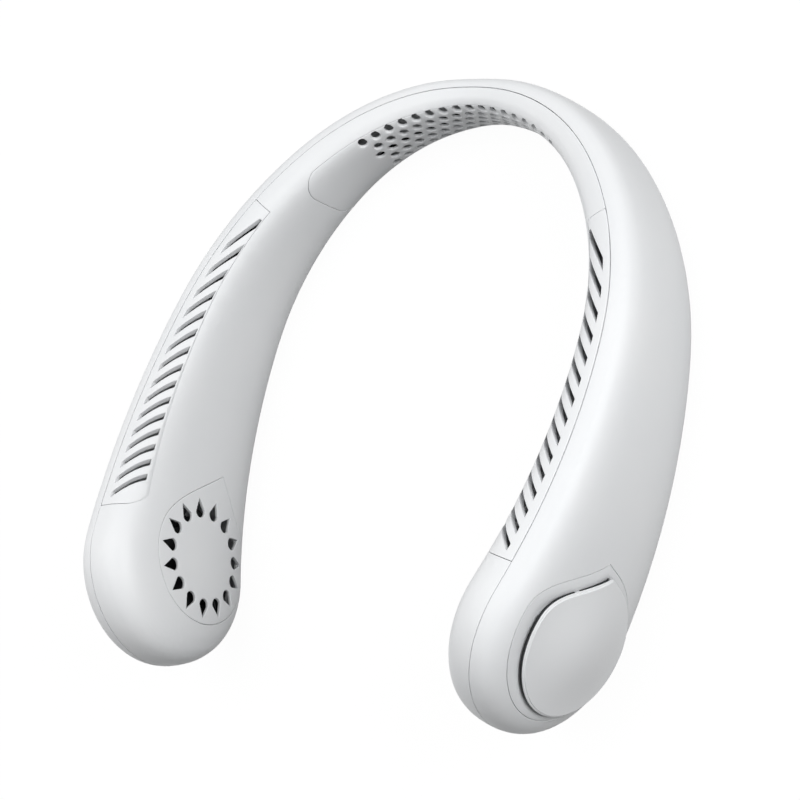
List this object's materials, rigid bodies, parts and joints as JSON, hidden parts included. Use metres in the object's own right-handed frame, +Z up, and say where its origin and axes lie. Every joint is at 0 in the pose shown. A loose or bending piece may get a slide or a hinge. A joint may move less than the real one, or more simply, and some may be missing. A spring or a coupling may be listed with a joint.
{
  "type": "neck fan",
  "caption": "Bladeless neck fan: a hollow collar open at the front, slotted along the top of both arms, with a blower in a round pod at each end and a perforated panel at the neck.",
  "frame": {"origin": "middle of the outline seen from above, on the surface the collar lies on", "axes": "+Z up, the side the air leaves; +Y towards the back of the neck; +X towards the wearer's right-hand arm as seen from behind the pods, the arm with its outer cap in the picture"},
  "size_m": [0.1948, 0.2026, 0.062],
  "materials": {
    "shell_plastic": "satin gloss",
    "cover_plastic": "fine satin",
    "grille_plastic": "satin gloss",
    "cap_plastic": "satin gloss",
    "dish_plastic": "satin",
    "inner_plastic": "matte",
    "wheel_plastic": "matte",
    "steel": "plain",
    "bronze": "sintered",
    "lamination": "dark",
    "copper": "enamelled wire",
    "board": "solder mask",
    "switch_plastic": "matte",
    "button_plastic": "satin gloss",
    "light_plastic": "clear",
    "cell_wrap": "shrink film",
    "wire_rubber": "matte"
  },
  "bodies": {
    "collar": {"battery_left": "cell_wrap", "battery_right": "cell_wrap", "bush_left": "bronze", "bush_right": "bronze", "case_screws": "steel", "charging_socket": "steel", "control_board": "board", "cradle_left": "inner_plastic", "cradle_right": "inner_plastic", "duct_floor_left": "inner_plastic", "duct_floor_right": "inner_plastic", "grille_left": "grille_plastic", "grille_right": "grille_plastic", "harness": "wire_rubber", "harness_plugs": "inner_plastic", "inlet_cover_left": "cover_plastic", "inlet_cover_right": "cover_plastic", "inner_shell": "shell_plastic", "intake_dish_left": "dish_plastic", "intake_dish_right": "dish_plastic", "light_guide": "light_plastic", "motor_board_left": "board", "motor_board_right": "board", "motor_lead_left": "wire_rubber", "motor_lead_right": "wire_rubber", "motor_mount_left": "inner_plastic", "motor_mount_right": "inner_plastic", "motor_screws_left": "steel", "motor_screws_right": "steel", "neck_panel": "cover_plastic", "outer_cap_left": "cap_plastic", "outer_cap_right": "cap_plastic", "outer_shell": "shell_plastic", "stator_left": "lamination", "stator_right": "lamination", "tact_switch": "switch_plastic", "windings_left": "copper", "windings_right": "copper"},
    "wheel_right": {"impeller_right": "wheel_plastic", "rotor_can_right": "steel", "magnet_ring_right": "lamination", "shaft_right": "steel"},
    "wheel_left": {"impeller_left": "wheel_plastic", "rotor_can_left": "steel", "magnet_ring_left": "lamination", "shaft_left": "steel"},
    "button": {"power_button": "button_plastic"}
  },
  "joints": [
    {"name": "wheel_right_spin", "type": "hinge", "parent": "collar", "child": "wheel_right", "pos_m": [0.07564, -0.07016, 0.031], "axis": [0.9636, -0.2672, 0], "continuous": true},
    {"name": "wheel_left_spin", "type": "hinge", "parent": "collar", "child": "wheel_left", "pos_m": [-0.07564, -0.07016, 0.031], "axis": [-0.9636, -0.2672, 0], "continuous": true},
    {"name": "button_press", "type": "slide", "parent": "collar", "child": "button", "axis": [0.9961, 0.0887, 0], "range_m": [0, 0.0005], "stiffness_N_per_m": 2000}
  ]
}
